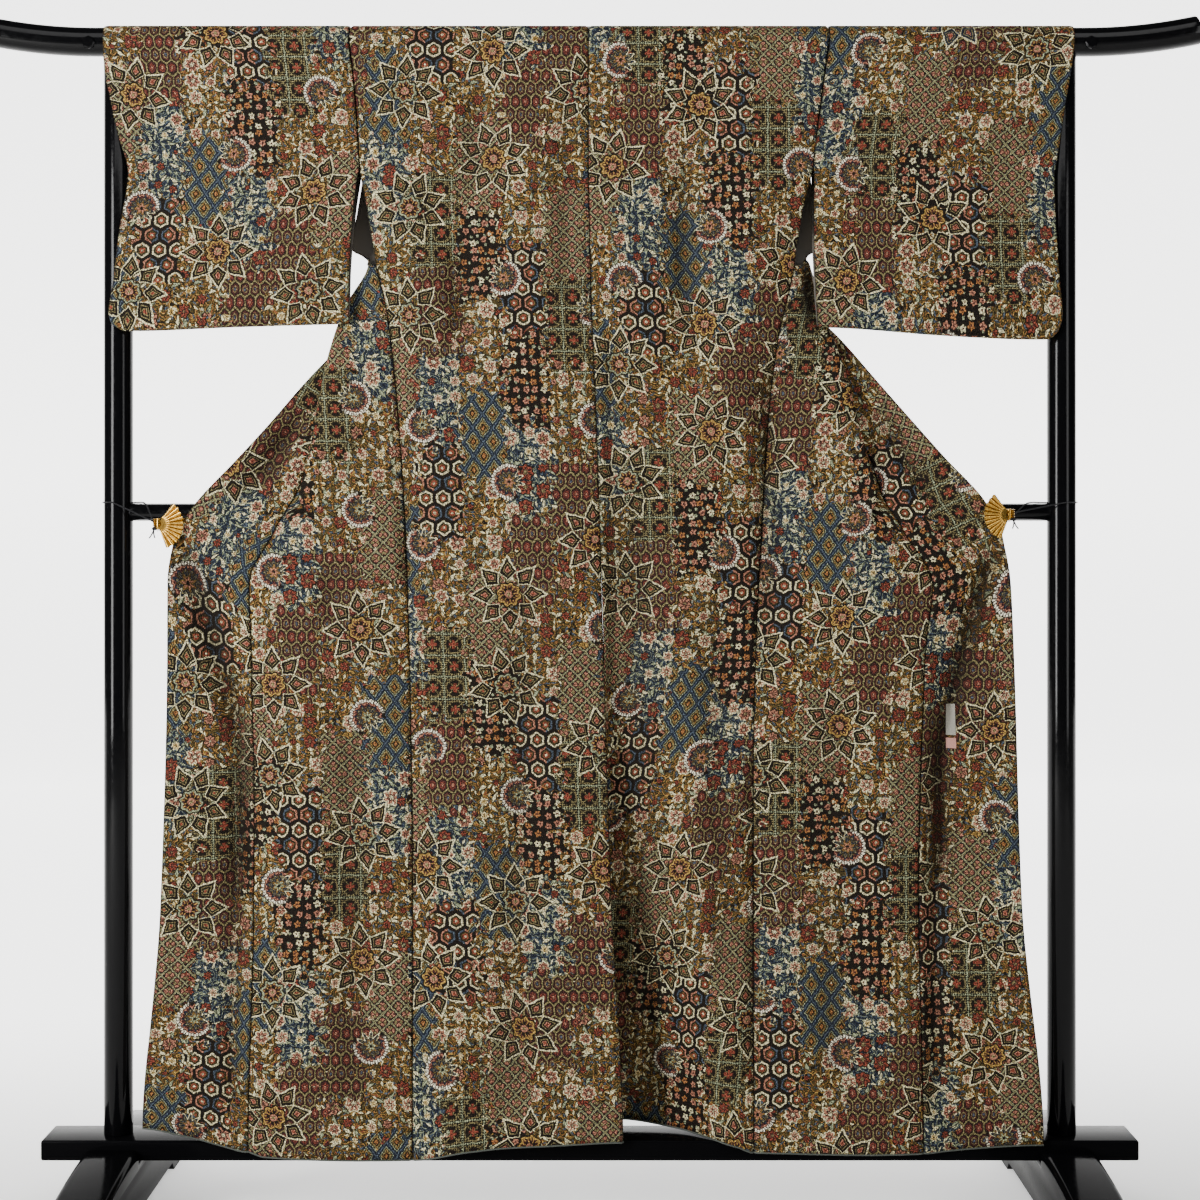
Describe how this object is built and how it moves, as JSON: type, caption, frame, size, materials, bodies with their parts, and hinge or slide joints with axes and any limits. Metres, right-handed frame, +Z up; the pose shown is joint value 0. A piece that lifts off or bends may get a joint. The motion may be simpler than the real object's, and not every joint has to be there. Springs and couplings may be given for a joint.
{
  "type": "kimono on a kimono stand",
  "caption": "Lined kimono with an all-over pattern, hung back to the viewer through its sleeves on a black lacquered stand, with its fronts clipped open.",
  "frame": {"origin": "centre of the footprint, on the floor", "axes": "+X to the right of the view of the kimono's back, +Y away from that view, towards the side where the open front and the collar hang, +Z up"},
  "size_m": [1.7096, 0.5, 1.6726],
  "materials": {
    "patterned_silk": "matt printed silk crepe, small traditional motifs all over on an ochre-brown ground",
    "black_lacquer": "glossy black lacquer",
    "gilt_metal": "polished gilt metal",
    "black_cord": "thin braided cord"
  },
  "bodies": {
    "root": {"back_left": "patterned_silk", "back_right": "patterned_silk", "front_left": "patterned_silk", "front_right": "patterned_silk", "okumi_left": "patterned_silk", "okumi_right": "patterned_silk", "sleeve_left": "patterned_silk", "sleeve_right": "patterned_silk", "collar_left": "patterned_silk", "collar_right": "patterned_silk", "collar_neck": "patterned_silk", "rail": "black_lacquer", "post_left": "black_lacquer", "post_right": "black_lacquer", "cross_bar": "black_lacquer", "base_plank": "black_lacquer", "foot_left": "black_lacquer", "foot_right": "black_lacquer", "clip_fan_left": "gilt_metal", "clip_fan_right": "gilt_metal", "clip_jaw_left": "gilt_metal", "clip_jaw_right": "gilt_metal", "clip_cord_left": "black_cord", "clip_cord_right": "black_cord"}
  },
  "joints": []
}
